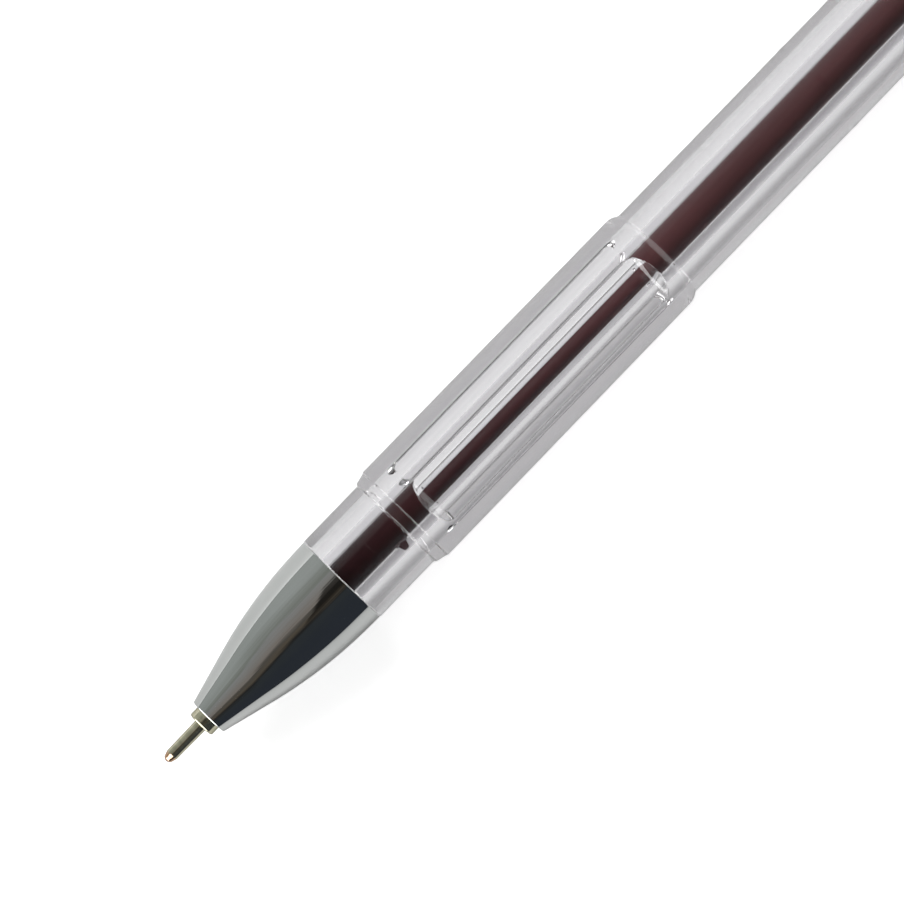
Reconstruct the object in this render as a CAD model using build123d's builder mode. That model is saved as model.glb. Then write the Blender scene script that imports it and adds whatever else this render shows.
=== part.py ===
from build123d import *
import os
from math import acos, atan2, cos, hypot, radians, sin, sqrt, tan

# A stick ballpoint pen with a needle point, in millimetres.
# The pen lies along X: the front of the writing ball is the origin and the barrel runs towards +X.
# The cap is posted on the rear end, and its clip lies on the surface beside it.

# Writing ball
ball_diameter = 0.7
ball_show = 0.17
ball_play = 0.02

# Point body, turned in one piece: lip, needle, collar and shank
lip_wall = 0.05
nose_length = 0.83
needle_front_diameter = 1.02
needle_rear_diameter = 1.1
needle_length = 2.69
needle_root_radius = 0.1
collar_diameter = 2.3
collar_chamfer = 0.14
collar_show = 1.05
collar_seat_length = 4.0
shank_length = 4.0
feed_diameter = 0.36
feed_length = 0.5
needle_bore_diameter = 0.56
point_bore_diameter = 1.1

# Refill tube and the ink in it
tube_diameter = 3.0
tube_bore_diameter = 1.8
tube_in_plug = 3.36
ear_from_tube_front = 16.2
ear_root_length = 1.2
ear_tip_length = 0.42
ear_reach = 2.08
ear_thickness = 0.7
ink_fill_share = 0.84
refill_fit = 0.01

# Nose cone
cone_front_diameter = 3.28
cone_front_round = 0.12
cone_straight_length = 4.36
cone_half_angle = 15
cone_curve_length = 7.78
cone_curve_rear_diameter = 8.18
cone_skirt_length = 2.8
cone_rear_diameter = 8.33
cone_rear_round = 0.1
cone_hole_clearance = 0.03
cone_shoulder_gap = 0.05
cone_throat_diameter = 3.3
cone_socket_diameter = 6.64
cone_socket_depth = 4.7

# Barrel: spigot in the cone, cap seat, cap stop, grip and rear tube
spigot_clearance = 0.02
spigot_length = 4.5
spigot_chamfer = 0.3
seat_diameter = 8.4
seat_length = 6.0
stop_front_diameter = 8.74
stop_rear_diameter = 9.14
stop_length = 1.1
stop_chamfer_length = 0.12
grip_front_diameter = 9.32
grip_rear_diameter = 9.23
grip_front_chamfer_length = 0.1
grip_length = 27.4
grip_shoulder_length = 1.0
barrel_diameter = 8.5
rear_tube_length = 84.2
barrel_end_round = 0.3
bore_diameter = 4.36
ring_from_shoulder = 18.45
ring_width = 1.4
ring_height = 0.035

# Flutes pressed into the grip: one, and another at a spread to each side of it
flute_radius = 6.2
flute_depth = 0.92
flute_length = 25.65
flute_front_land = 1.32
flute_end_length = 1.1
flute_turn = 11.5
flute_spread = 130

# End plug
plug_clearance = 0.02
plug_stem_length = 6.0
plug_stem_chamfer = 0.2
plug_head_step = 0.3
plug_head_length = 2.0
plug_head_round = 1.2
plug_cup_clearance = 0.08
plug_cup_end_gap = 0.2
plug_vent_diameter = 1.0

# Cap and its clip
cap_length = 42.0
cap_post_depth = 16.0
cap_bore_clearance = 0.05
cap_lip_wall = 0.75
cap_lip_length = 1.6
cap_lip_chamfer = 0.25
cap_body_wall = 0.65
cap_end_taper = 0.25
cap_end_round = 1.4
cap_straight_bore_length = 17.5
cap_bore_taper = 0.45
cap_end_wall = 1.6
cap_vent_diameter = 2.4
clip_width = 3.2
clip_thickness = 1.2
clip_gap = 1.1
clip_length = 33.0
clip_root_length = 4.2
clip_corner_round = 1.6
clip_bead_length = 2.6
clip_bead_clearance = 0.15
clip_edge_round = 0.35

# Stations along the pen, from the front of the ball
nose_rear_x = ball_show + nose_length
collar_x = nose_rear_x + needle_length
cone_x = collar_x + collar_show
tube_x = cone_x + collar_seat_length
curve_x = cone_x + cone_straight_length
skirt_x = curve_x + cone_curve_length
seat_x = skirt_x + cone_skirt_length
stop_x = seat_x + seat_length
grip_x = stop_x + stop_length
shoulder_x = grip_x + grip_length
rear_tube_x = shoulder_x + grip_shoulder_length
barrel_end_x = rear_tube_x + rear_tube_length
plug_x = barrel_end_x - plug_stem_length
tube_end_x = plug_x + tube_in_plug
cap_x = barrel_end_x - cap_post_depth
cap_end_x = cap_x + cap_length

os.makedirs("parts", exist_ok=True)


# The ball rolls in the socket at the needle's end.
with BuildPart() as writing_ball:
    with Locations((ball_diameter / 2, 0, 0)):
        Sphere(ball_diameter / 2)

writing_ball.part.label = "writing_ball"
export_step(writing_ball.part, "parts/writing_ball.step")


# The point body is turned from wire: the lip holds the ball and the shank goes into the tube.
socket_radius = ball_diameter / 2 + ball_play
lip_bore_radius = sqrt(socket_radius**2 - (ball_diameter / 2 - ball_show) ** 2)
shank_radius = tube_bore_diameter / 2 - refill_fit
shank_end_x = tube_x + shank_length
feed_end_x = ball_diameter + feed_length

with BuildPart() as point_body:
    with BuildSketch(Plane.XY):
        with BuildLine():
            Polyline(
                (ball_show, 0),
                (ball_show, lip_bore_radius + lip_wall),
                (nose_rear_x, needle_front_diameter / 2),
                (collar_x, needle_rear_diameter / 2),
                (collar_x, collar_diameter / 2 - collar_chamfer),
                (collar_x + collar_chamfer, collar_diameter / 2),
                (tube_x, collar_diameter / 2),
                (tube_x, shank_radius),
                (shank_end_x, shank_radius),
                (shank_end_x, 0),
                close=True,
            )
        make_face()
        needle_root = vertices().sort_by_distance((collar_x, needle_rear_diameter / 2))[0]
        fillet(needle_root, radius=needle_root_radius)
    revolve(axis=Axis.X)
    with Locations((ball_diameter / 2, 0, 0)):
        Sphere(socket_radius, mode=Mode.SUBTRACT)
    with BuildSketch(Plane.XY):
        with BuildLine():
            Polyline(
                (ball_diameter / 2, 0),
                (ball_diameter / 2, feed_diameter / 2),
                (feed_end_x, feed_diameter / 2),
                (feed_end_x, needle_bore_diameter / 2),
                (collar_x, needle_bore_diameter / 2),
                (collar_x + collar_show, point_bore_diameter / 2),
                (shank_end_x, point_bore_diameter / 2),
                (shank_end_x, 0),
                close=True,
            )
        make_face()
    revolve(axis=Axis.X, mode=Mode.SUBTRACT)

point_body.part.label = "point_body"
export_step(point_body.part, "parts/point_body.step")


# The refill tube is a plain extruded tube, cut square, with one small stop ear pressed out of its side.
ear_x = tube_x + ear_from_tube_front
ear_root = (tube_diameter + tube_bore_diameter) / 4

with BuildPart() as refill_tube:
    with BuildSketch(Plane.YZ.offset(tube_x)):
        Circle(tube_diameter / 2)
        Circle(tube_bore_diameter / 2, mode=Mode.SUBTRACT)
    extrude(amount=tube_end_x - tube_x)
    with BuildSketch(Plane.XY):
        with BuildLine():
            Polyline(
                (ear_x - ear_root_length / 2, -ear_root),
                (ear_x - ear_tip_length / 2, -ear_reach),
                (ear_x + ear_tip_length / 2, -ear_reach),
                (ear_x + ear_root_length / 2, -ear_root),
                close=True,
            )
        make_face()
    extrude(amount=ear_thickness / 2, both=True)

refill_tube.part.label = "refill_tube"
export_step(refill_tube.part, "parts/refill_tube.step")


# The ink column starts behind the shank and leaves the rear of the tube empty.
with BuildPart() as ink:
    with BuildSketch(Plane.YZ.offset(shank_end_x)):
        Circle(tube_bore_diameter / 2 - refill_fit)
    extrude(amount=(tube_end_x - shank_end_x) * ink_fill_share)

ink.part.label = "ink"
export_step(ink.part, "parts/ink.step")


# The nose cone is a shell: its hole grips the collar and its socket goes over the barrel's spigot.
curve_front_radius = cone_front_diameter / 2 + cone_straight_length * tan(radians(cone_half_angle))
straight_direction = (cos(radians(cone_half_angle)), sin(radians(cone_half_angle)))
hole_radius = collar_diameter / 2 + cone_hole_clearance
shoulder_inside_x = tube_x - cone_shoulder_gap
socket_x = seat_x - cone_socket_depth

with BuildPart() as nose_cone:
    with BuildSketch(Plane.XY):
        with BuildLine():
            Line((cone_x, 0), (cone_x, cone_front_diameter / 2))
            Line((cone_x, cone_front_diameter / 2), (curve_x, curve_front_radius))
            TangentArc(
                (curve_x, curve_front_radius),
                (skirt_x, cone_curve_rear_diameter / 2),
                tangent=straight_direction,
            )
            Line((skirt_x, cone_curve_rear_diameter / 2), (seat_x, cone_rear_diameter / 2))
            Line((seat_x, cone_rear_diameter / 2), (seat_x, 0))
            Line((seat_x, 0), (cone_x, 0))
        make_face()
        front_corner = vertices().sort_by_distance((cone_x, cone_front_diameter / 2))[0]
        fillet(front_corner, radius=cone_front_round)
        rear_corner = vertices().sort_by_distance((seat_x, cone_rear_diameter / 2))[0]
        fillet(rear_corner, radius=cone_rear_round)
    revolve(axis=Axis.X)
    with BuildSketch(Plane.XY):
        with BuildLine():
            Polyline(
                (cone_x, 0),
                (cone_x, hole_radius),
                (shoulder_inside_x, hole_radius),
                (shoulder_inside_x, cone_throat_diameter / 2),
                (socket_x, cone_socket_diameter / 2),
                (seat_x, cone_socket_diameter / 2),
                (seat_x, 0),
                close=True,
            )
        make_face()
    revolve(axis=Axis.X, mode=Mode.SUBTRACT)

nose_cone.part.label = "nose_cone"
export_step(nose_cone.part, "parts/nose_cone.step")


# The flute cutter is a rod with sloping ends, standing along its own Z.
with BuildPart() as flute_cutter:
    with BuildSketch(Plane.XZ):
        with BuildLine():
            Polyline(
                (0, 0),
                (flute_radius - flute_depth, 0),
                (flute_radius, flute_end_length),
                (flute_radius, flute_length - flute_end_length),
                (flute_radius - flute_depth, flute_length),
                (0, flute_length),
                close=True,
            )
        make_face()
    revolve(axis=Axis.Z)


# The barrel is one clear moulding with thick walls and a plain bore from end to end.
spigot_radius = cone_socket_diameter / 2 - spigot_clearance
spigot_x = seat_x - spigot_length
ring_x = rear_tube_x + ring_from_shoulder
flute_axis_radius = grip_front_diameter / 2 - flute_depth + flute_radius

with BuildPart() as barrel:
    with BuildSketch(Plane.XY):
        with BuildLine():
            Polyline(
                (spigot_x, 0),
                (spigot_x, spigot_radius - spigot_chamfer),
                (spigot_x + spigot_chamfer, spigot_radius),
                (seat_x, spigot_radius),
                (seat_x, seat_diameter / 2),
                (stop_x, seat_diameter / 2),
                (stop_x + stop_chamfer_length, stop_front_diameter / 2),
                (grip_x - grip_front_chamfer_length, stop_rear_diameter / 2),
                (grip_x, grip_front_diameter / 2),
                (shoulder_x, grip_rear_diameter / 2),
            )
            TangentArc(
                (shoulder_x, grip_rear_diameter / 2),
                (rear_tube_x, barrel_diameter / 2),
                tangent=(grip_length, (grip_rear_diameter - grip_front_diameter) / 2),
            )
            Line((rear_tube_x, barrel_diameter / 2), (ring_x - ring_width / 2, barrel_diameter / 2))
            ThreePointArc(
                (ring_x - ring_width / 2, barrel_diameter / 2),
                (ring_x, barrel_diameter / 2 + ring_height),
                (ring_x + ring_width / 2, barrel_diameter / 2),
            )
            Polyline(
                (ring_x + ring_width / 2, barrel_diameter / 2),
                (barrel_end_x, barrel_diameter / 2),
                (barrel_end_x, 0),
                (spigot_x, 0),
            )
        make_face()
        end_corner = vertices().sort_by_distance((barrel_end_x, barrel_diameter / 2))[0]
        fillet(end_corner, radius=barrel_end_round)
    revolve(axis=Axis.X)
    with Locations(Plane.YZ.offset(grip_x + flute_front_land)):
        with PolarLocations(
            flute_axis_radius,
            3,
            start_angle=90 + flute_turn - flute_spread,
            angular_range=2 * flute_spread,
            endpoint=True,
        ):
            add(flute_cutter.part, mode=Mode.SUBTRACT)
    with BuildSketch(Plane.YZ.offset(spigot_x)):
        Circle(bore_diameter / 2)
    extrude(amount=barrel_end_x - spigot_x, mode=Mode.SUBTRACT)

barrel.part.label = "barrel"
export_step(barrel.part, "parts/barrel.step")


# The end plug closes the rear bore, and its cup centres the refill's rear end.
cup_end_x = tube_end_x + plug_cup_end_gap
cup_radius = tube_diameter / 2 + plug_cup_clearance
stem_radius = bore_diameter / 2 - plug_clearance
plug_end_x = barrel_end_x + plug_head_length
plug_head_radius = barrel_diameter / 2 - plug_head_step

with BuildPart() as end_plug:
    with BuildSketch(Plane.XY):
        with BuildLine():
            Polyline(
                (plug_x, plug_vent_diameter / 2),
                (plug_x, stem_radius - plug_stem_chamfer),
                (plug_x + plug_stem_chamfer, stem_radius),
                (barrel_end_x, stem_radius),
                (barrel_end_x, plug_head_radius),
                (plug_end_x, plug_head_radius),
                (plug_end_x, plug_vent_diameter / 2),
                close=True,
            )
        make_face()
        head_corner = vertices().sort_by_distance((plug_end_x, plug_head_radius))[0]
        fillet(head_corner, radius=plug_head_round)
    revolve(axis=Axis.X)
    with BuildSketch(Plane.YZ.offset(plug_x)):
        Circle(cup_radius)
    extrude(amount=cup_end_x - plug_x, mode=Mode.SUBTRACT)

end_plug.part.label = "end_plug"
export_step(end_plug.part, "parts/end_plug.step")


# The cap is one moulding with its clip, which turns about the pen until it lies on the surface.
cap_bore_radius = barrel_diameter / 2 + cap_bore_clearance
cap_end_bore_radius = cap_bore_radius - cap_bore_taper
cap_lip_radius = cap_bore_radius + cap_lip_wall
cap_body_radius = cap_bore_radius + cap_body_wall
cap_end_radius = cap_body_radius - cap_end_taper
cap_floor_x = cap_end_x - cap_end_wall
clip_inner_radius = cap_body_radius + clip_gap
clip_outer_radius = clip_inner_radius + clip_thickness
clip_tip_x = cap_end_x - clip_length
clip_corner_reach = hypot(clip_outer_radius, clip_width / 2)
clip_lean = acos(cap_lip_radius / clip_corner_reach) + atan2(clip_width / 2, clip_outer_radius)
clip_direction = (0, -sin(clip_lean), -cos(clip_lean))
clip_plane = Plane(
    origin=(0, 0, 0),
    x_dir=(1, 0, 0),
    z_dir=(0, cos(clip_lean), -sin(clip_lean)),
)

with BuildPart() as cap:
    with BuildSketch(Plane.XY):
        with BuildLine():
            Polyline(
                (cap_x, 0),
                (cap_x, cap_lip_radius - cap_lip_chamfer),
                (cap_x + cap_lip_chamfer, cap_lip_radius),
                (cap_x + cap_lip_length - cap_lip_chamfer, cap_lip_radius),
                (cap_x + cap_lip_length, cap_body_radius),
                (cap_end_x, cap_end_radius),
                (cap_end_x, 0),
                close=True,
            )
        make_face()
        end_corner = vertices().sort_by_distance((cap_end_x, cap_end_radius))[0]
        fillet(end_corner, radius=cap_end_round)
    revolve(axis=Axis.X)
    with BuildSketch(clip_plane):
        with BuildLine():
            Polyline(
                (cap_end_x - cap_end_round, 0),
                (cap_end_x - cap_end_round, clip_outer_radius),
                (clip_tip_x, clip_outer_radius),
                (clip_tip_x, cap_body_radius + clip_bead_clearance),
                (clip_tip_x + clip_bead_length / 2, cap_body_radius + clip_bead_clearance),
                (clip_tip_x + clip_bead_length, clip_inner_radius),
                (cap_end_x - cap_end_round - clip_root_length, clip_inner_radius),
                (cap_end_x - cap_end_round - clip_root_length, 0),
                close=True,
            )
        make_face()
        outer_corners = vertices().group_by(Axis.Y)[-1]
        fillet(outer_corners, radius=clip_corner_round)
    extrude(amount=clip_width / 2, both=True)
    clip_edges = edges().filter_by(Axis.X).sort_by(Axis((0, 0, 0), clip_direction))[-2:]
    fillet(clip_edges, radius=clip_edge_round)
    with BuildSketch(Plane.XY):
        with BuildLine():
            Polyline(
                (cap_x, 0),
                (cap_x, cap_bore_radius),
                (cap_x + cap_straight_bore_length, cap_bore_radius),
                (cap_floor_x, cap_end_bore_radius),
                (cap_floor_x, cap_vent_diameter / 2),
                (cap_end_x, cap_vent_diameter / 2),
                (cap_end_x, 0),
                close=True,
            )
        make_face()
    revolve(axis=Axis.X, mode=Mode.SUBTRACT)

cap.part.label = "cap"
export_step(cap.part, "parts/cap.step")
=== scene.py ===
from math import acos, cos, pi, radians, sin, sqrt, tan

import bmesh
import bpy
from mathutils import Matrix, Vector


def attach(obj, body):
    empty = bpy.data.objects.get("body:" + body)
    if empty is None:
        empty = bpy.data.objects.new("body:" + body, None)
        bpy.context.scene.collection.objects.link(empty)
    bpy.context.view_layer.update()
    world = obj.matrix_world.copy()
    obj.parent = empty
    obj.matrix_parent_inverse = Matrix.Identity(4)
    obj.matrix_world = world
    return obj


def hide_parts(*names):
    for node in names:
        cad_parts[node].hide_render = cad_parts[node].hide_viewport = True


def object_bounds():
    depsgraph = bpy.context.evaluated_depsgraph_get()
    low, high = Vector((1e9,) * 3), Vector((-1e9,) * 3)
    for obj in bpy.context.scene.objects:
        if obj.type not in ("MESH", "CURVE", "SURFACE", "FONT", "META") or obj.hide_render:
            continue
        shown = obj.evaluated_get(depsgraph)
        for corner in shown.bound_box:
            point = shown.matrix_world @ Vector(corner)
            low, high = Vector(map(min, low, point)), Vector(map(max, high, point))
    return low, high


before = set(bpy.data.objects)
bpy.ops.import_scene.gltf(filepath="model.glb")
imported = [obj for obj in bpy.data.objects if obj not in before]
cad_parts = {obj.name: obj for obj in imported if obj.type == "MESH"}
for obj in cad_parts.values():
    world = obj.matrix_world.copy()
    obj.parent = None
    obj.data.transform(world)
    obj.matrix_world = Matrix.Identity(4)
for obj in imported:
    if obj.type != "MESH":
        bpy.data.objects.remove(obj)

cad_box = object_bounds()


# Writing ball
# A hard metal ball that turns in the needle's end and carries the ink to the paper.
# It is ground and polished, and a film of ink tints it.
mm = 0.001
ball_radius = 0.35 * mm
ball_steps = 40
ball_seams = 64
on_axis = 1e-6 * mm
inked_metal = (0.34, 0.17, 0.11)
bare_metal = (0.62, 0.42, 0.34)


def rounded(corners, closed=True, steps=7):
    """Outline through corners (along, out, radius), each bent round its radius by an arc."""
    outline = []
    count = len(corners)
    for i, (along, out, radius) in enumerate(corners):
        here = Vector((along, out))
        if radius == 0 or (not closed and i in (0, count - 1)):
            outline.append(here)
            continue
        before = (Vector(corners[i - 1][:2]) - here).normalized()
        after = (Vector(corners[(i + 1) % count][:2]) - here).normalized()
        half = before.angle(after) / 2
        centre = here + (before + after).normalized() * radius / sin(half)
        first = here + before * radius / tan(half) - centre
        last = here + after * radius / tan(half) - centre
        turn = first.angle_signed(last)
        for step in range(steps + 1):
            outline.append(centre + Matrix.Rotation(-turn * step / steps, 2) @ first)
    return outline


def held(outline, closed=True, share=0.25):
    """The outline with points near the ends of long runs, which keep their shading even beside a bend."""
    points = [Vector(point) for point in outline]
    count = len(points)
    lengths = [(points[(i + 1) % count] - points[i]).length for i in range(count)]
    kept = []
    for i in range(count if closed else count - 1):
        one, two = points[i], points[(i + 1) % count]
        kept.append(one)
        ends = ((lengths[i - 1], one, two - one), (lengths[(i + 1) % count], two, one - two))
        for short, start, way in ends:
            if short < lengths[i] * share:
                kept.append(start + way.normalized() * short * share)
    return kept if closed else kept + [points[-1]]


def turned(name, outline, seams, closed=True, sharp=28):
    """A mesh turned round the pen's axis from an outline of (along, out) points."""
    shape = bmesh.new()
    rings = []
    for along, out in held(outline, closed):
        if out < on_axis:
            rings.append([shape.verts.new((along, 0, 0))])
            continue
        ring = []
        for seam in range(seams):
            angle = 2 * pi * seam / seams
            ring.append(shape.verts.new((along, -out * sin(angle), out * cos(angle))))
        rings.append(ring)
    pairs = list(zip(rings, rings[1:]))
    if closed:
        pairs.append((rings[-1], rings[0]))
    for one, two in pairs:
        for seam in range(seams):
            after = (seam + 1) % seams
            corners = [one[seam % len(one)], one[after % len(one)]]
            corners += [two[after % len(two)], two[seam % len(two)]]
            corners = list(dict.fromkeys(corners))
            if len(corners) > 2:
                shape.faces.new(corners)
    return finished(name, shape, sharp)


def finished(name, shape, sharp):
    """Turns a bmesh into a smooth-shaded object whose hard corners stay crisp."""
    bmesh.ops.recalc_face_normals(shape, faces=shape.faces)
    mesh = bpy.data.meshes.new(name)
    shape.to_mesh(mesh)
    shape.free()
    mesh.shade_smooth()
    mesh.set_sharp_from_angle(angle=radians(sharp))
    piece = bpy.data.objects.new(name, mesh)
    bpy.context.scene.collection.objects.link(piece)
    return piece


def finish_of(name):
    """A new node material, with its tree, its main shader and its output."""
    material = bpy.data.materials.new(name)
    material.use_nodes = True
    tree = material.node_tree
    return material, tree, tree.nodes["Principled BSDF"], tree.nodes["Material Output"]


def cloud(tree, scale, detail, stretch=(1, 1, 1)):
    """Noise in the object's own coordinates, stretched along the pen."""
    place = tree.nodes.new("ShaderNodeTexCoord")
    mapping = tree.nodes.new("ShaderNodeMapping")
    mapping.inputs["Scale"].default_value = stretch
    noise = tree.nodes.new("ShaderNodeTexNoise")
    noise.inputs["Scale"].default_value = scale
    noise.inputs["Detail"].default_value = detail
    tree.links.new(place.outputs["Object"], mapping.inputs["Vector"])
    tree.links.new(mapping.outputs["Vector"], noise.inputs["Vector"])
    return noise.outputs["Fac"]


def ramp(tree, source, stops):
    """A colour ramp from (place, colour) stops."""
    node = tree.nodes.new("ShaderNodeValToRGB")
    elements = node.color_ramp.elements
    while len(elements) < len(stops):
        elements.new(0.5)
    for element, (position, colour) in zip(elements, stops):
        element.position = position
        element.color = (*colour, 1)
    tree.links.new(source, node.inputs["Fac"])
    return node.outputs["Color"]


def span(tree, source, low, high, first=0, last=1):
    """A value between first and last carried to the range from low to high."""
    node = tree.nodes.new("ShaderNodeMapRange")
    node.inputs["From Min"].default_value = first
    node.inputs["From Max"].default_value = last
    node.inputs["To Min"].default_value = low
    node.inputs["To Max"].default_value = high
    tree.links.new(source, node.inputs["Value"])
    return node.outputs["Result"]


def relief(tree, shader, source, height):
    """Bump on a shader, of a height in metres."""
    node = tree.nodes.new("ShaderNodeBump")
    node.inputs["Distance"].default_value = height
    tree.links.new(source, node.inputs["Height"])
    tree.links.new(node.outputs["Normal"], shader.inputs["Normal"])


def dress(piece, material, body, slot, *nodes):
    """Gives a piece its finish and its body, and hides the nodes it stands for. The slot is not used."""
    piece.data.materials.clear()
    piece.data.materials.append(material)
    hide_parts(*nodes)
    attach(piece, body)


ball_leans = [pi * step / ball_steps for step in range(ball_steps + 1)]
ball_arc = [(ball_radius - ball_radius * cos(lean), ball_radius * sin(lean)) for lean in ball_leans]
ball = turned("ball", ball_arc, ball_seams, closed=False)
ball_metal, tree, shader, _ = finish_of("inked_ball")
film = cloud(tree, scale=2500, detail=3)
film_tone = ramp(tree, film, [(0.35, inked_metal), (0.65, bare_metal)])
tree.links.new(film_tone, shader.inputs["Base Color"])
tree.links.new(span(tree, film, low=0.12, high=0.3), shader.inputs["Roughness"])
shader.inputs["Metallic"].default_value = 1
dress(ball, ball_metal, "ball", "ball_metal", "writing_ball")


# Point body
# The needle, its collar and the shank behind it are turned in one piece from nickel silver wire.
# The lip is rolled over the ball, the worked nose looks coppery, and the shank is pressed into the tube.
socket_play = 0.02 * mm
socket_steps = 24
lip_x = 0.17 * mm
lip_radius = 0.345 * mm
lip_edge = 0.02 * mm
nose_rear_x = 0.68 * mm
nose_edge = 0.1 * mm
needle_front_radius = 0.51 * mm
needle_rear_radius = 0.55 * mm
needle_root = 0.05 * mm
collar_x = 3.87 * mm
collar_radius = 1.15 * mm
collar_edge = 0.16 * mm
collar_rear_edge = 0.05 * mm
tube_x = 8.74 * mm
shank_radius = 0.89 * mm
shank_end_x = 12.74 * mm
shank_edge = 0.05 * mm
point_seams = 128
turning_height = 0.002 * mm
silver_dark = (0.54, 0.52, 0.38)
silver_light = (0.72, 0.69, 0.52)
copper_tint = (1, 0.68, 0.6)
no_tint = (1, 1, 1)
copper_fade_x = 0.55 * mm
copper_end_x = 0.75 * mm
socket_radius = ball_radius + socket_play
socket_turn = acos((lip_x - ball_radius) / socket_radius)
socket_leans = [socket_turn * step / socket_steps for step in range(socket_steps)]
socket_arc = [(ball_radius + socket_radius * cos(lean), socket_radius * sin(lean)) for lean in socket_leans]
point_corners = [
    (lip_x, socket_radius * sin(socket_turn), 0),
    (lip_x, lip_radius, lip_edge),
    (nose_rear_x, needle_front_radius, nose_edge),
    (collar_x, needle_rear_radius, needle_root),
    (collar_x, collar_radius, collar_edge),
    (tube_x, collar_radius, collar_rear_edge),
    (tube_x, shank_radius, 0),
    (shank_end_x, shank_radius, shank_edge),
    (shank_end_x, 0, 0),
]


def lengthwise(tree):
    """A point's place along the pen."""
    place = tree.nodes.new("ShaderNodeTexCoord")
    split = tree.nodes.new("ShaderNodeSeparateXYZ")
    tree.links.new(place.outputs["Object"], split.inputs["Vector"])
    return split.outputs["X"]


def tinted(tree, one, two):
    """The product of two colours."""
    node = tree.nodes.new("ShaderNodeMix")
    node.data_type = "RGBA"
    node.blend_type = "MULTIPLY"
    node.inputs[0].default_value = 1
    tree.links.new(one, node.inputs[6])
    tree.links.new(two, node.inputs[7])
    return node.outputs[2]


point_outline = socket_arc + rounded(point_corners, closed=False)
point = turned("needle_point", point_outline, point_seams, closed=False)
point_metal, tree, shader, _ = finish_of("turned_nickel_silver")
turning = cloud(tree, scale=400, detail=4, stretch=(14, 1, 1))
turning_tone = ramp(tree, turning, [(0.3, silver_dark), (0.7, silver_light)])
nose = span(tree, lengthwise(tree), 0, 1, copper_fade_x, copper_end_x)
nose_tone = ramp(tree, nose, [(0, copper_tint), (1, no_tint)])
tree.links.new(tinted(tree, turning_tone, nose_tone), shader.inputs["Base Color"])
tree.links.new(span(tree, turning, low=0.04, high=0.08), shader.inputs["Roughness"])
shader.inputs["Metallic"].default_value = 0.95
shader.inputs["Specular Tint"].default_value = (0.35, 0.35, 0.33, 1)
relief(tree, shader, turning, turning_height)
dress(point, point_metal, "refill", "point_metal", "point_body")


# Refill tube
# A clear polypropylene tube, extruded and cut square. The point's shank closes its front end, and it
# carries the ink from there almost to the rear end of the pen.
tube_radius = 1.5 * mm
tube_bore = 0.9 * mm
tube_end_x = 136.74 * mm
tube_edge = 0.05 * mm
tube_seams = 160
clear_shadow = (0.86, 0.855, 0.86, 1)
clear_fade_share = 0.985
most_returns = 3
tube_corners = [
    (tube_x, tube_bore, 0),
    (tube_x, tube_radius, tube_edge),
    (tube_end_x, tube_radius, tube_edge),
    (tube_end_x, tube_bore, 0),
]


def reckon(tree, operation, one, two=0, three=0):
    """A sum of numbers and other nodes' values."""
    node = tree.nodes.new("ShaderNodeMath")
    node.operation = operation
    for socket, value in zip(node.inputs, (one, two, three)):
        if isinstance(value, bpy.types.NodeSocket):
            tree.links.new(value, socket)
        else:
            socket.default_value = value
    return node.outputs["Value"]


def either(tree, share, one, two):
    """The first shader where share is 0, and the second one where it is 1."""
    node = tree.nodes.new("ShaderNodeMixShader")
    for socket, source in zip(node.inputs, (share, one, two)):
        tree.links.new(source, socket)
    return node.outputs["Shader"]


def clear(name, colour, bend, grain_scale, grain_stretch, rough, height):
    """A clear plastic that bends light. Lamp light and light thrown back too often pass straight on."""
    material, tree, shader, output = finish_of(name)
    shader.inputs["Transmission Weight"].default_value = 1
    shader.inputs["IOR"].default_value = bend
    shader.inputs["Specular Tint"].default_value = (0.8, 0.8, 0.8, 1)
    grain = cloud(tree, grain_scale, 2, grain_stretch)
    faded = [part * clear_fade_share for part in colour]
    grain_tone = ramp(tree, grain, [(0.3, faded), (0.7, colour)])
    tree.links.new(grain_tone, shader.inputs["Base Color"])
    tree.links.new(span(tree, grain, *rough), shader.inputs["Roughness"])
    relief(tree, shader, grain, height)
    rays = tree.nodes.new("ShaderNodeLightPath")
    trapped = reckon(tree, "GREATER_THAN", rays.outputs["Glossy Depth"], most_returns)
    let_go = reckon(tree, "MAXIMUM", rays.outputs["Is Shadow Ray"], trapped)
    straight = tree.nodes.new("ShaderNodeBsdfTransparent")
    straight.inputs["Color"].default_value = clear_shadow
    both = either(tree, let_go, shader.outputs["BSDF"], straight.outputs["BSDF"])
    tree.links.new(both, output.inputs["Surface"])
    return material


tube = turned("refill_tube_clear", rounded(tube_corners), tube_seams)
tube_plastic = clear(
    "clear_polypropylene",
    colour=(0.96, 0.955, 0.94),
    bend=1.49,
    grain_scale=300,
    grain_stretch=(0.1, 1, 1),
    rough=(0.0, 0.02),
    height=0.002 * mm,
)
dress(tube, tube_plastic, "refill", "clear_tube", "refill_tube")


# Ink
# A column of dark oil ink that wets the tube's bore, so it shows as wide as the tube's wall bends it.
# Its rear end is a hollow meniscus, and the rest of the tube is empty. Its colour carries painted shade and
# is darker towards the front end.
ink_wetting = 0.004 * mm
ink_gap = 0.02 * mm
ink_end_x = 116.9 * mm
meniscus = 0.5 * mm
meniscus_steps = 12
streak_dark = (0.75, 0.75, 0.75)
streak_light = (1, 1, 1)
# Painted shade: the front colour is the ink painted darker, and the rear colour is the lighter ink.
ink_shaded_front_colour = (0.042, 0.0115, 0.014)
ink_rear_colour = (0.165, 0.066, 0.07)
ink_shade_from_x = 22 * mm
ink_shade_to_x = 50 * mm
ink_radius = tube_bore + ink_wetting
ink_x = shank_end_x + ink_gap
ink_outline = [(ink_x, 0), (ink_x, ink_radius), (ink_end_x, ink_radius)]
for step in range(1, meniscus_steps + 1):
    lean = pi / 2 * step / meniscus_steps
    ink_outline.append((ink_end_x - meniscus * sin(lean), ink_radius * cos(lean)))
column = turned("ink_column", ink_outline, tube_seams, closed=False)
ink_dark, tree, shader, _ = finish_of("dark_oil_ink")
streaks = cloud(tree, scale=500, detail=4, stretch=(0.12, 1, 1))
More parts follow.
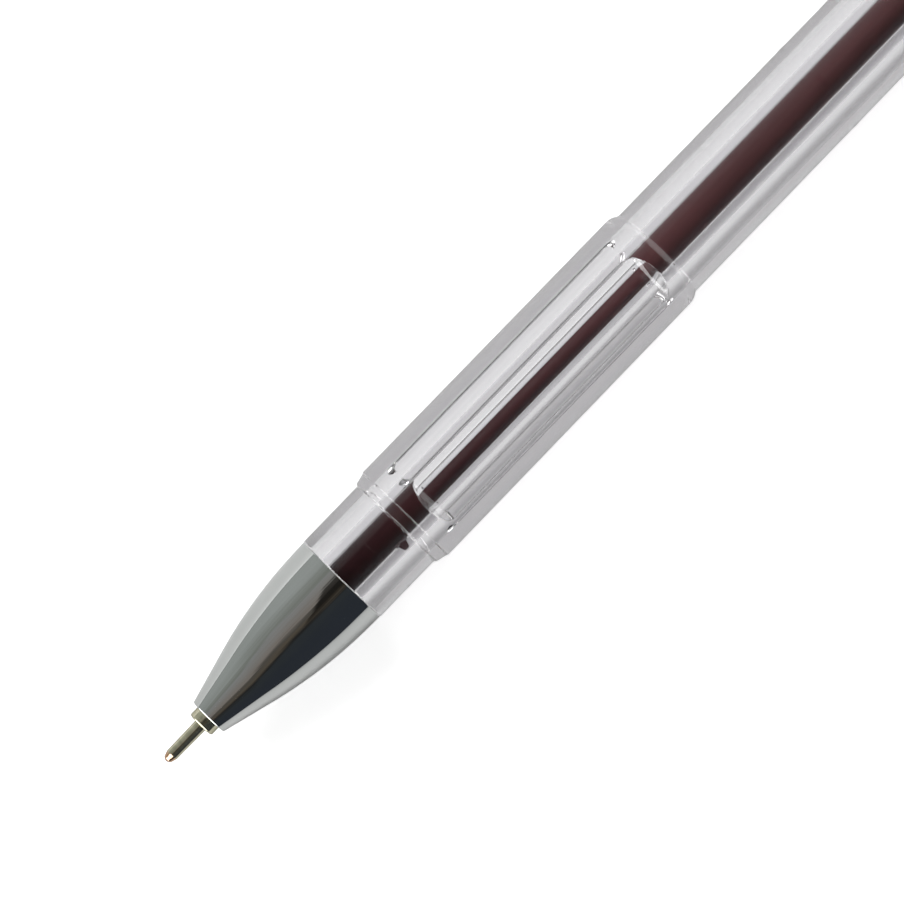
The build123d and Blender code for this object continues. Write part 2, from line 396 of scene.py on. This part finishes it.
streak_tone = ramp(tree, streaks, [(0.35, streak_dark), (0.7, streak_light)])
# Painted shade: the ink is painted darker from 50 mm forward to 22 mm along the pen.
painted_ink_shade = span(tree, lengthwise(tree), 0, 1, ink_shade_from_x, ink_shade_to_x)
ink_tone_with_painted_shade = ramp(tree, painted_ink_shade, [(0, ink_shaded_front_colour), (1, ink_rear_colour)])
tree.links.new(tinted(tree, ink_tone_with_painted_shade, streak_tone), shader.inputs["Base Color"])
tree.links.new(span(tree, streaks, low=0.2, high=0.4), shader.inputs["Roughness"])
shader.inputs["Specular IOR Level"].default_value = 0
dress(column, ink_dark, "refill", "ink", "ink")


# Stop ear
# A small ear pressed out of the tube's side behind the point, with ink inside it.
# It reaches almost to the barrel's bore and keeps the refill from rattling there.
ear_x = 24.94 * mm
ear_root_radius = 0.86 * mm
ear_reach = 2.08 * mm
ear_root_half = 0.6 * mm
ear_tip_half = 0.21 * mm
ear_half = 0.35 * mm
ear_edge = 0.08 * mm
ear_corners = [
    (-ear_root_half, ear_root_radius),
    (-ear_tip_half, ear_reach),
    (ear_tip_half, ear_reach),
    (ear_root_half, ear_root_radius),
]
shape = bmesh.new()
for along, out in ear_corners:
    for height in (-ear_half, ear_half):
        shape.verts.new((ear_x + along, -out, height))
bmesh.ops.convex_hull(shape, input=shape.verts)
bmesh.ops.bevel(shape, geom=shape.edges[:], offset=ear_edge, segments=3, profile=0.5, affect="EDGES")
ear = finished("tube_stop_ear", shape, sharp=40)
dress(ear, ink_dark, "refill", "clear_tube", "refill_tube")


# Nose cone
# A turned shell with mirror plating, pushed over the barrel's front spigot.
# Its hole grips the point's collar, and a short skirt meets the barrel's cap seat.
cone_x = 4.74 * mm
cone_front_radius = 1.64 * mm
cone_front_edge = 0.12 * mm
cone_lean = radians(15)
curve_x = 9.1 * mm
curve_steps = 48
skirt_x = 18.19 * mm
skirt_radius = 4.126 * mm
skirt_edge = 0.1 * mm
seat_x = 19.68 * mm
cone_rear_radius = 4.165 * mm
cone_hole = 1.18 * mm
cone_hole_edge = 0.08 * mm
throat_x = 8.69 * mm
throat_radius = 1.65 * mm
cone_socket_x = 14.98 * mm
cone_socket = 3.32 * mm
cone_seams = 256
plating_height = 0.001 * mm
plating_dark = (0.58, 0.6, 0.585)
plating_light = (0.64, 0.655, 0.645)


def bow(start, direction, end, steps):
    """Points of the arc that leaves start along direction and runs through end."""
    chord = Vector(end) - Vector(start)
    normal = Vector((-direction[1], direction[0]))
    radius = chord.length_squared / (2 * chord.dot(normal))
    centre = Vector(start) + normal * radius
    first = Vector(start) - centre
    turn = first.angle_signed(Vector(end) - centre)
    turns = [Matrix.Rotation(-turn * step / steps, 2) for step in range(1, steps + 1)]
    return [tuple(centre + each @ first) for each in turns]


curve_radius = cone_front_radius + (curve_x - cone_x) * tan(cone_lean)
cone_way = (cos(cone_lean), sin(cone_lean))
cone_front = rounded(
    [
        (seat_x, cone_socket, 0),
        (cone_socket_x, cone_socket, 0),
        (throat_x, throat_radius, 0),
        (throat_x, cone_hole, 0),
        (cone_x, cone_hole, cone_hole_edge),
        (cone_x, cone_front_radius, cone_front_edge),
        (curve_x, curve_radius, 0),
    ],
    closed=False,
)
cone_curve = bow((curve_x, curve_radius), cone_way, (skirt_x, skirt_radius), curve_steps)
cone_rear = rounded(
    [
        (skirt_x, skirt_radius, 0),
        (seat_x, cone_rear_radius, skirt_edge),
        (seat_x, cone_socket, 0),
    ],
    closed=False,
)
cone = turned("nose_cone_bright", cone_front + cone_curve + cone_rear[1:-1], cone_seams)
plating, tree, shader, _ = finish_of("mirror_plating")
wipe = cloud(tree, scale=260, detail=5, stretch=(0.5, 1, 1))
wipe_tone = ramp(tree, wipe, [(0.3, plating_dark), (0.7, plating_light)])
tree.links.new(wipe_tone, shader.inputs["Base Color"])
tree.links.new(span(tree, wipe, low=0.03, high=0.07), shader.inputs["Roughness"])
shader.inputs["Metallic"].default_value = 1
relief(tree, shader, wipe, plating_height)
dress(cone, plating, "refill", "bright_plating", "nose_cone")


# Barrel
# One clear polystyrene moulding with thick walls: a spigot inside the cone, the plain cap seat, the cap
# stop, the grip with three long flutes, and the plain tube behind it. The refill lies in its bore.
spigot_x = 15.18 * mm
spigot_radius = 3.3 * mm
spigot_edge = 0.3 * mm
seat_radius = 4.2 * mm
seat_edge = 0.06 * mm
mould_line_x = 22.9 * mm
mould_line_width = 0.16 * mm
mould_line_height = 0.015 * mm
mould_line_round = 0.05 * mm
stop_x = 25.68 * mm
stop_rise = 0.12 * mm
stop_root = 0.15 * mm
stop_edge = 0.2 * mm
stop_front_radius = 4.37 * mm
stop_rear_radius = 4.57 * mm
grip_x = 26.78 * mm
grip_rise = 0.1 * mm
grip_root = 0.05 * mm
grip_edge = 0.2 * mm
grip_front_radius = 4.66 * mm
grip_rear_radius = 4.615 * mm
shoulder_x = 54.18 * mm
shoulder_steps = 12
rear_tube_x = 55.18 * mm
barrel_radius = 4.25 * mm
ring_x = 73.63 * mm
ring_width = 1.4 * mm
ring_height = 0.02 * mm
ring_steps = 12
barrel_end_x = 139.38 * mm
barrel_end_edge = 0.3 * mm
bore = 2.18 * mm
bore_edge = 0.05 * mm
flute_count = 3
flute_radius = 6.2 * mm
flute_depth = 0.92 * mm
flute_x = 28.1 * mm
flute_length = 25.65 * mm
flute_end = 1.1 * mm
flute_end_steps = 25
flute_turn = radians(11.5)
flute_spread = radians(130)
flute_lip = 0.1 * mm
flute_edge = radians(1)
flute_step = radians(0.01)
flute_limit = radians(60)
land_seams = 20
edge_seams = 12
floor_seams = 36
flute_axis = grip_front_radius - flute_depth + flute_radius


def flute_reach(along, lean):
    """Distance from the pen's axis to the flute's floor, at an angle from the flute's middle."""
    inset = min(along - flute_x, flute_x + flute_length - along)
    if inset < 0 or abs(lean) > flute_limit:
        return None
    rise = max(0, 1 - inset / flute_end)
    reach = flute_radius - flute_depth * rise * rise
    under = reach * reach - (flute_axis * sin(lean)) ** 2
    return None if under <= 0 else flute_axis * cos(lean) - sqrt(under)


def softened(one, two, lip):
    """The smaller of two radii, with the edge where they meet eased over a lip."""
    if two is None:
        return one
    share = max(0, lip - abs(one - two)) / lip
    return min(one, two) - share * share * lip / 4


flute_half = 0
while flute_reach(flute_x + flute_length / 2, flute_half) < grip_front_radius:
    flute_half += flute_step
land_halves = (pi - flute_spread, flute_spread / 2, flute_spread / 2, pi - flute_spread)
seam_angles = []
seam_leans = []
for flute in range(flute_count):
    for low, high, count in (
        (-land_halves[flute], -flute_half - flute_edge, land_seams),
        (-flute_half - flute_edge, -flute_half + flute_edge, edge_seams),
        (-flute_half + flute_edge, flute_half - flute_edge, floor_seams),
        (flute_half - flute_edge, flute_half + flute_edge, edge_seams),
        (flute_half + flute_edge, land_halves[flute + 1], land_seams),
    ):
        for step in range(count):
            lean = low + (high - low) * step / count
            seam_leans.append(lean)
            seam_angles.append(flute_turn + flute_spread * (flute - 1) + lean)

front = rounded(
    [
        (spigot_x, bore, 0),
        (spigot_x, spigot_radius, spigot_edge),
        (seat_x, spigot_radius, 0),
        (seat_x, seat_radius, seat_edge),
        (mould_line_x - mould_line_width / 2, seat_radius, 0),
        (mould_line_x, seat_radius + mould_line_height, mould_line_round),
        (mould_line_x + mould_line_width / 2, seat_radius, 0),
        (stop_x, seat_radius, stop_root),
        (stop_x + stop_rise, stop_front_radius, stop_edge),
        (grip_x - grip_rise, stop_rear_radius, grip_root),
        (grip_x, grip_front_radius, grip_edge),
        (flute_x, grip_front_radius, 0),
    ],
    closed=False,
)
end_shares = [step / flute_end_steps for step in range(flute_end_steps + 1)]
grip_places = [flute_x + flute_end * share for share in end_shares]
grip_places += [flute_x + flute_length - flute_end * (1 - share) for share in end_shares]
grip_slope = (grip_rear_radius - grip_front_radius) / (shoulder_x - grip_x)
grip = [(along, grip_front_radius + grip_slope * (along - grip_x)) for along in grip_places]
grip.append((shoulder_x, grip_rear_radius))
shoulder = bow((shoulder_x, grip_rear_radius), (1, grip_slope), (rear_tube_x, barrel_radius), shoulder_steps)
swell = []
for step in range(ring_steps + 1):
    share = step / ring_steps
    swell.append((ring_x + ring_width * (share - 0.5), barrel_radius + ring_height * sin(pi * share) ** 2))
rear = rounded(
    [
        (ring_x + ring_width / 2, barrel_radius, 0),
        (barrel_end_x, barrel_radius, barrel_end_edge),
        (barrel_end_x, bore, bore_edge),
        (spigot_x, bore, 0),
    ],
    closed=False,
)
barrel_outline = front[:-1] + grip + shoulder + swell + rear[1:-1]

shape = bmesh.new()
rows = []
for along, out in held(barrel_outline):
    row = []
    for angle, lean in zip(seam_angles, seam_leans):
        reach = out
        if out > seat_radius:
            reach = softened(out, flute_reach(along, lean), flute_lip)
        row.append(shape.verts.new((along, -reach * sin(angle), reach * cos(angle))))
    rows.append(row)
for one, two in zip(rows, rows[1:] + rows[:1]):
    for seam in range(len(seam_angles)):
        after = (seam + 1) % len(seam_angles)
        shape.faces.new((one[seam], one[after], two[after], two[seam]))
barrel = finished("barrel_clear", shape, sharp=40)
barrel_plastic = clear(
    "clear_polystyrene",
    colour=(0.98, 0.973, 0.99),
    bend=1.59,
    grain_scale=120,
    grain_stretch=(0.15, 1, 1),
    rough=(0.0, 0.012),
    height=0.0015 * mm,
)
dress(barrel, barrel_plastic, "barrel", "clear_plastic", "barrel")


# End plug
# A black polypropylene moulding, pressed into the rear of the bore. Its cup centres the refill's rear end,
# its head shows inside the posted cap, and a small hole lets air to the refill.
plug_x = 133.38 * mm
plug_stem_radius = 2.16 * mm
plug_stem_edge = 0.2 * mm
plug_cup_x = 136.94 * mm
plug_cup_radius = 1.58 * mm
plug_cup_edge = 0.08 * mm
plug_head_radius = 3.95 * mm
plug_head_edge = 0.12 * mm
plug_end_x = 141.38 * mm
plug_end_round = 1.2 * mm
plug_vent = 0.5 * mm
plug_vent_edge = 0.1 * mm
plug_seams = 128
skin_height = 0.0008 * mm
skin_dark = (0.013, 0.013, 0.014)
skin_light = (0.019, 0.019, 0.021)
plug_corners = [
    (plug_cup_x, plug_vent, 0),
    (plug_cup_x, plug_cup_radius, 0),
    (plug_x, plug_cup_radius, plug_cup_edge),
    (plug_x, plug_stem_radius, plug_stem_edge),
    (barrel_end_x, plug_stem_radius, 0),
    (barrel_end_x, plug_head_radius, plug_head_edge),
    (plug_end_x, plug_head_radius, plug_end_round),
    (plug_end_x, plug_vent, plug_vent_edge),
]
plug = turned("rear_plug", rounded(plug_corners), plug_seams)
black, tree, shader, _ = finish_of("black_polypropylene")
skin = cloud(tree, scale=2600, detail=5)
skin_tone = ramp(tree, skin, [(0.3, skin_dark), (0.7, skin_light)])
tree.links.new(skin_tone, shader.inputs["Base Color"])
tree.links.new(span(tree, skin, low=0.26, high=0.36), shader.inputs["Roughness"])
relief(tree, shader, skin, skin_height)
dress(plug, black, "barrel", "black_plastic", "end_plug")


# Cap
# One black polypropylene moulding with its clip, posted on the rear end. The clip stands beside the pen on
# a root at the closed end, has a bead at its tip, and a vent pierces the end.
cap_x = 123.38 * mm
cap_bore = 4.3 * mm
cap_bore_edge = 0.15 * mm
cap_lip_radius = 5.05 * mm
cap_lip_edge = 0.25 * mm
cap_lip_x = 124.98 * mm
cap_lip_slope = 0.12 * mm
cap_lip_round = 0.1 * mm
cap_body_radius = 4.95 * mm
cap_taper_x = 140.88 * mm
cap_floor_x = 163.78 * mm
cap_floor_round = 0.3 * mm
cap_end_bore = 3.85 * mm
cap_end_x = 165.38 * mm
cap_end_radius = 4.7 * mm
cap_end_round = 1.4 * mm
cap_vent = 1.2 * mm
cap_vent_edge = 0.15 * mm
cap_vent_inner_edge = 0.1 * mm
cap_seams = 192
cap_corners = [
    (cap_x, cap_bore, cap_bore_edge),
    (cap_x, cap_lip_radius, cap_lip_edge),
    (cap_lip_x - cap_lip_slope, cap_lip_radius, cap_lip_round),
    (cap_lip_x, cap_body_radius, cap_lip_round),
    (cap_end_x, cap_end_radius, cap_end_round),
    (cap_end_x, cap_vent, cap_vent_edge),
    (cap_floor_x, cap_vent, cap_vent_inner_edge),
    (cap_floor_x, cap_end_bore, cap_floor_round),
    (cap_taper_x, cap_bore, 0),
]
cap = turned("cap_shell", rounded(cap_corners), cap_seams)
dress(cap, black, "cap", "black_plastic", "cap")

clip_lean = radians(59.58)
clip_half = 1.6 * mm
clip_sink = 0.3 * mm
clip_root_x = 159.78 * mm
clip_root_round = 0.5 * mm
clip_rear_x = 163.98 * mm
clip_tip_x = 132.38 * mm
clip_corner_round = 1.6 * mm
clip_inner = 6.05 * mm
clip_outer = 7.25 * mm
clip_bead = 5.1 * mm
clip_bead_length = 2.6 * mm
clip_bead_edge = 0.3 * mm
clip_bead_round = 0.6 * mm
clip_edge = 0.3 * mm
clip_outline = rounded(
    [
        (clip_rear_x, cap_end_radius - clip_sink, 0),
        (clip_rear_x, clip_outer, clip_corner_round),
        (clip_tip_x, clip_outer, clip_corner_round),
        (clip_tip_x, clip_bead, clip_bead_edge),
        (clip_tip_x + clip_bead_length / 2, clip_bead, clip_bead_round),
        (clip_tip_x + clip_bead_length, clip_inner, clip_bead_round),
        (clip_root_x, clip_inner, clip_root_round),
        (clip_root_x, cap_end_radius - clip_sink, 0),
    ]
)
shape = bmesh.new()
flanks = []
for across in (-clip_half, clip_half):
    flank = []
    for along, out in clip_outline:
        down = out * sin(clip_lean) - across * cos(clip_lean)
        flank.append(shape.verts.new((along, -down, -out * cos(clip_lean) - across * sin(clip_lean))))
    flanks.append(flank)
for one in range(len(clip_outline)):
    two = (one + 1) % len(clip_outline)
    shape.faces.new((flanks[0][one], flanks[0][two], flanks[1][two], flanks[1][one]))
rims = [edge for edge in shape.edges if len(edge.link_faces) == 1]
for flank in flanks:
    shape.faces.new(flank)
bmesh.ops.recalc_face_normals(shape, faces=shape.faces)
bmesh.ops.bevel(shape, geom=rims, offset=clip_edge, segments=4, profile=0.5, affect="EDGES")
clip = finished("cap_clip", shape, sharp=40)
dress(clip, black, "cap", "black_plastic", "cap")


# Floor
# A plain matt sheet of pale paper under the pen, wide enough to fill the picture.
# It is lifted to white where the camera looks straight at it, and keeps the pen's shadow.
floor_z = cad_box[0][2]
floor_size = 6.0
paper_lift = 0.66
paper_behind = 0.02
shape = bmesh.new()
bmesh.ops.create_grid(shape, x_segments=1, y_segments=1, size=floor_size / 2)
bmesh.ops.translate(shape, verts=shape.verts, vec=(0, 0, floor_z))
floor = finished("floor", shape, sharp=30)
paper, tree, shader, _ = finish_of("pale_paper")
shader.inputs["Base Color"].default_value = (0.8, 0.8, 0.8, 1)
shader.inputs["Roughness"].default_value = 0.9
shader.inputs["Specular IOR Level"].default_value = 0
shader.inputs["Emission Color"].default_value = (1, 1, 1, 1)
rays = tree.nodes.new("ShaderNodeLightPath")
behind = reckon(tree, "MULTIPLY", rays.outputs["Is Transmission Ray"], paper_behind)
lift = reckon(tree, "MULTIPLY_ADD", rays.outputs["Is Camera Ray"], paper_lift, behind)
tree.links.new(lift, shader.inputs["Emission Strength"])
floor.data.materials.append(paper)


# Studio light
# One soft lamp beyond the pen and an even room. Metal mirrors a pale far wall, a dark near side, white
# panels past both ends of the pen and the dark camera overhead, and the plastics show a dark ceiling.
lamp_place = Vector((0.02, 0.42, 0.42))
lamp_aim = Vector((0.06, 0, 0))
lamp = bpy.data.lights.new("soft_lamp", "AREA")
lamp.shape = "RECTANGLE"
lamp.size = 0.45
lamp.size_y = 0.35
lamp.energy = 3.0
lamp_stand = bpy.data.objects.new("soft_lamp", lamp)
lamp_turn = (lamp_aim - lamp_place).to_track_quat("-Z", "Y").to_matrix().to_4x4()
lamp_stand.matrix_world = Matrix.Translation(lamp_place) @ lamp_turn
lamp_stand.visible_glossy = False
lamp_stand.visible_transmission = False
bpy.context.scene.collection.objects.link(lamp_stand)

clutter_stretch = (2.5, 14, 2)
front_bend_start = 0.28
front_bend = 3
wall_clutter = 0.4
wall_near = -0.8
wall_far = 1.6
wall_stops = [
    (0.1, (0.03, 0.035, 0.045)),
    (0.25, (0.035, 0.04, 0.045)),
    (0.29, (0.02, 0.02, 0.02)),
    (0.34, (0.11, 0.09, 0.07)),
    (0.42, (0.1, 0.09, 0.08)),
    (0.46, (0.25, 0.22, 0.2)),
    (0.63, (0.3, 0.3, 0.3)),
    (0.66, (0.24, 0.25, 0.23)),
    (0.8, (0.4, 0.42, 0.41)),
]
panel_stops = [
    (0.04, (0, 0, 0)),
    (0.05, (1, 1, 1)),
    (0.17, (1, 1, 1)),
    (0.19, (0, 0, 0)),
    (0.83, (0, 0, 0)),
    (0.88, (0.3, 0.3, 0.3)),
]
panel_glow = (7, 7, 7)
room = bpy.data.worlds.new("room")
bpy.context.scene.world = room
room.use_nodes = True
tree = room.node_tree
even = tree.nodes["Background"]
even.inputs["Color"].default_value = (1, 1, 1, 1)
even.inputs["Strength"].default_value = 0.4
direction = tree.nodes.new("ShaderNodeTexCoord").outputs["Generated"]
compass = tree.nodes.new("ShaderNodeSeparateXYZ")
tree.links.new(direction, compass.inputs["Vector"])
rearward, farward, upward = compass.outputs
drawn_out = tree.nodes.new("ShaderNodeMapping")
drawn_out.inputs["Scale"].default_value = clutter_stretch
tree.links.new(direction, drawn_out.inputs["Vector"])
noise = tree.nodes.new("ShaderNodeTexNoise")
noise.inputs["Scale"].default_value = 1
noise.inputs["Detail"].default_value = 5
tree.links.new(drawn_out.outputs["Vector"], noise.inputs["Vector"])
clutter = noise.outputs["Fac"]

forward = reckon(tree, "SUBTRACT", reckon(tree, "MULTIPLY", rearward, -1), front_bend_start)
forward = reckon(tree, "MAXIMUM", forward, 0)
wall = reckon(tree, "MULTIPLY_ADD", reckon(tree, "MULTIPLY", forward, forward), front_bend, farward)
wall = reckon(tree, "MULTIPLY_ADD", clutter, wall_clutter, wall)
walls = ramp(tree, span(tree, wall, 0, 1, wall_near, wall_far), wall_stops)
panels = ramp(tree, span(tree, rearward, 0, 1, -1, 1), panel_stops)
shine = tree.nodes.new("ShaderNodeVectorMath")
shine.operation = "MULTIPLY_ADD"
shine.inputs[1].default_value = panel_glow
tree.links.new(panels, shine.inputs[0])
tree.links.new(walls, shine.inputs[2])

shade_slant = -3
shade_slant_start = -0.05
shade_clutter = 0.3
shade_dark = 0.82
slant = reckon(tree, "MINIMUM", rearward, shade_slant_start)
slant = reckon(tree, "MULTIPLY_ADD", slant, shade_slant, farward)
slant = reckon(tree, "MULTIPLY_ADD", clutter, shade_clutter, slant)
shade_far = span(tree, slant, shade_dark, 0, first=0.56, last=0.66)
shade_rear = span(tree, rearward, 1, 0, first=0.1, last=0.2)
shade_near = span(tree, farward, 0, 1, first=-0.3, last=-0.12)
shade = reckon(tree, "MULTIPLY", shade_far, reckon(tree, "MULTIPLY", shade_rear, shade_near))
shaded = tree.nodes.new("ShaderNodeVectorMath")
shaded.operation = "SCALE"
tree.links.new(shine.outputs["Vector"], shaded.inputs[0])
tree.links.new(reckon(tree, "SUBTRACT", 1, shade), shaded.inputs["Scale"])
mirrored = tree.nodes.new("ShaderNodeBackground")
tree.links.new(shaded.outputs["Vector"], mirrored.inputs["Color"])

beyond_light = 0.42
ceiling_light = 0.06
ceiling = span(tree, upward, beyond_light, ceiling_light, first=0.45, last=0.85)
ends = span(tree, reckon(tree, "ABSOLUTE", rearward), 0, beyond_light, first=0.26, last=0.42)
beyond = tree.nodes.new("ShaderNodeBackground")
tree.links.new(reckon(tree, "MAXIMUM", ceiling, ends), beyond.inputs["Strength"])
seen = tree.nodes.new("ShaderNodeBackground")
rays = tree.nodes.new("ShaderNodeLightPath")
surround = even.outputs["Background"]
for ray, look in (("Is Glossy Ray", mirrored), ("Is Transmission Ray", beyond), ("Is Camera Ray", seen)):
    surround = either(tree, rays.outputs[ray], surround, look.outputs["Background"])
tree.links.new(surround, tree.nodes["World Output"].inputs["Surface"])


# Camera
# It looks almost straight down on the front half of the pen, which runs up to the right of the picture.
# Its lens is a long one, about a quarter of a metre above the paper.
picture_side = 904
focal_pixels = 3100
pen_slant = radians(45.926)
aim = Vector((32.8 * mm, 0.73 * mm, 0))
camera_place = Vector((22.2 * mm, 0.73 * mm, 242.6 * mm))
view = (aim - camera_place).normalized()
pen_way = (Vector((1, 0, 0)) - view * view.x).normalized()
pen_side = (-view).cross(pen_way)
right = pen_way * cos(pen_slant) - pen_side * sin(pen_slant)
up = pen_way * sin(pen_slant) + pen_side * cos(pen_slant)
lens = bpy.data.cameras.new("camera")
lens.sensor_width = 36
lens.lens = lens.sensor_width * focal_pixels / picture_side
lens.clip_start = 0.01
camera = bpy.data.objects.new("camera", lens)
camera.matrix_world = Matrix.Translation(camera_place) @ Matrix((right, up, -view)).transposed().to_4x4()
bpy.context.scene.collection.objects.link(camera)
bpy.context.scene.camera = camera
bpy.context.scene.view_settings.view_transform = "Standard"
